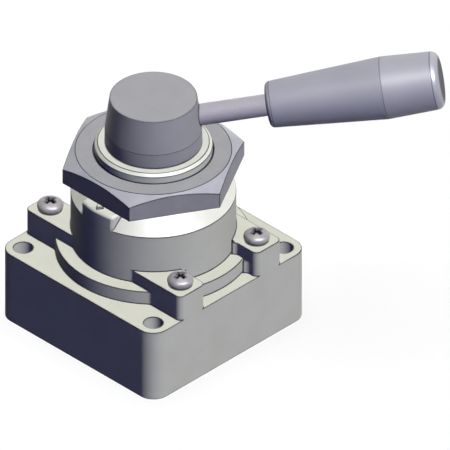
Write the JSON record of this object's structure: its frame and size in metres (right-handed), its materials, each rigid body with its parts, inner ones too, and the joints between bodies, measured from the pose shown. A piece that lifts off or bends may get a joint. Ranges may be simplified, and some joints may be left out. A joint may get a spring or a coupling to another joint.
{
  "type": "hand lever air valve",
  "caption": "Hand lever air valve: a turning slide valve in a square cast block with screw pads, a round turret, a panel neck with hexagon nut, and a side lever with a tapered grip.",
  "frame": {"origin": "centre of the four mounting holes, on the plane of the mounting rim", "axes": "+Z along the shaft, from the mounting rim to the lever; the key is on the -Y side, and the lever points between +X and +Y at its middle position"},
  "size_m": [0.1025, 0.1025, 0.0972],
  "materials": {
    "cast_aluminium": "die-cast, fine matt blasted surface",
    "machined_aluminium": "milled and drilled, fine tool marks",
    "nut_steel": "turned and zinc plated, dull",
    "hub_cast": "painted, satin",
    "rod_steel": "drawn bar, polished",
    "grip_plastic": "moulded, semi-gloss",
    "screw_steel": "bright nickel plated",
    "shaft_steel": "turned and ground",
    "spring_steel": "oiled spring steel",
    "disc_plastic": "machined acetal, lapped face",
    "bush_bronze": "sintered bronze, oiled",
    "seal_rubber": "moulded nitrile rubber, greased",
    "seal_felt": "pressed felt"
  },
  "bodies": {
    "housing": {"housing": "cast_aluminium", "port_plate": "machined_aluminium", "plate_o_ring": "seal_rubber", "slide_ring_1": "disc_plastic", "slide_ring_2": "disc_plastic", "slide_ring_3": "disc_plastic", "slide_ring_4": "disc_plastic", "port_o_ring_1": "seal_rubber", "port_o_ring_2": "seal_rubber", "port_o_ring_3": "seal_rubber", "port_o_ring_4": "seal_rubber", "thrust_washer": "disc_plastic", "lower_bush": "bush_bronze", "upper_bush": "bush_bronze", "plate_screws": "screw_steel"},
    "lever": {"valve_disc": "disc_plastic", "disc_spring": "spring_steel", "drive_plate": "machined_aluminium", "drive_pin_1": "shaft_steel", "drive_pin_2": "shaft_steel", "detent_spring_1": "spring_steel", "detent_spring_2": "spring_steel", "retaining_ring": "spring_steel", "shaft": "shaft_steel", "shaft_o_ring": "seal_rubber", "dust_seal": "seal_felt", "lever_hub": "hub_cast", "lever_rod": "rod_steel", "lever_grip": "grip_plastic"},
    "detent_ball_1": {"detent_ball_1": "shaft_steel"},
    "detent_ball_2": {"detent_ball_2": "shaft_steel"},
    "panel_nut": {"panel_nut": "nut_steel"}
  },
  "joints": [
    {"name": "lever_turn", "type": "hinge", "parent": "housing", "child": "lever", "pos_m": [0, 0, 0], "axis": [0, 0, 1], "range_deg": [-45, 45]},
    {"name": "detent_ball_1_snap", "type": "slide", "parent": "lever", "child": "detent_ball_1", "axis": [0, 0, 1], "range_m": [0, 0.0006], "stiffness_N_per_m": 3000, "deforming": ["detent_spring_1"]},
    {"name": "detent_ball_2_snap", "type": "slide", "parent": "lever", "child": "detent_ball_2", "axis": [0, 0, 1], "range_m": [0, 0.0006], "stiffness_N_per_m": 3000, "deforming": ["detent_spring_2"]},
    {"name": "panel_nut_travel", "type": "slide", "parent": "housing", "child": "panel_nut", "axis": [0, 0, 1], "range_m": [-0.0018, 0.0031]}
  ]
}
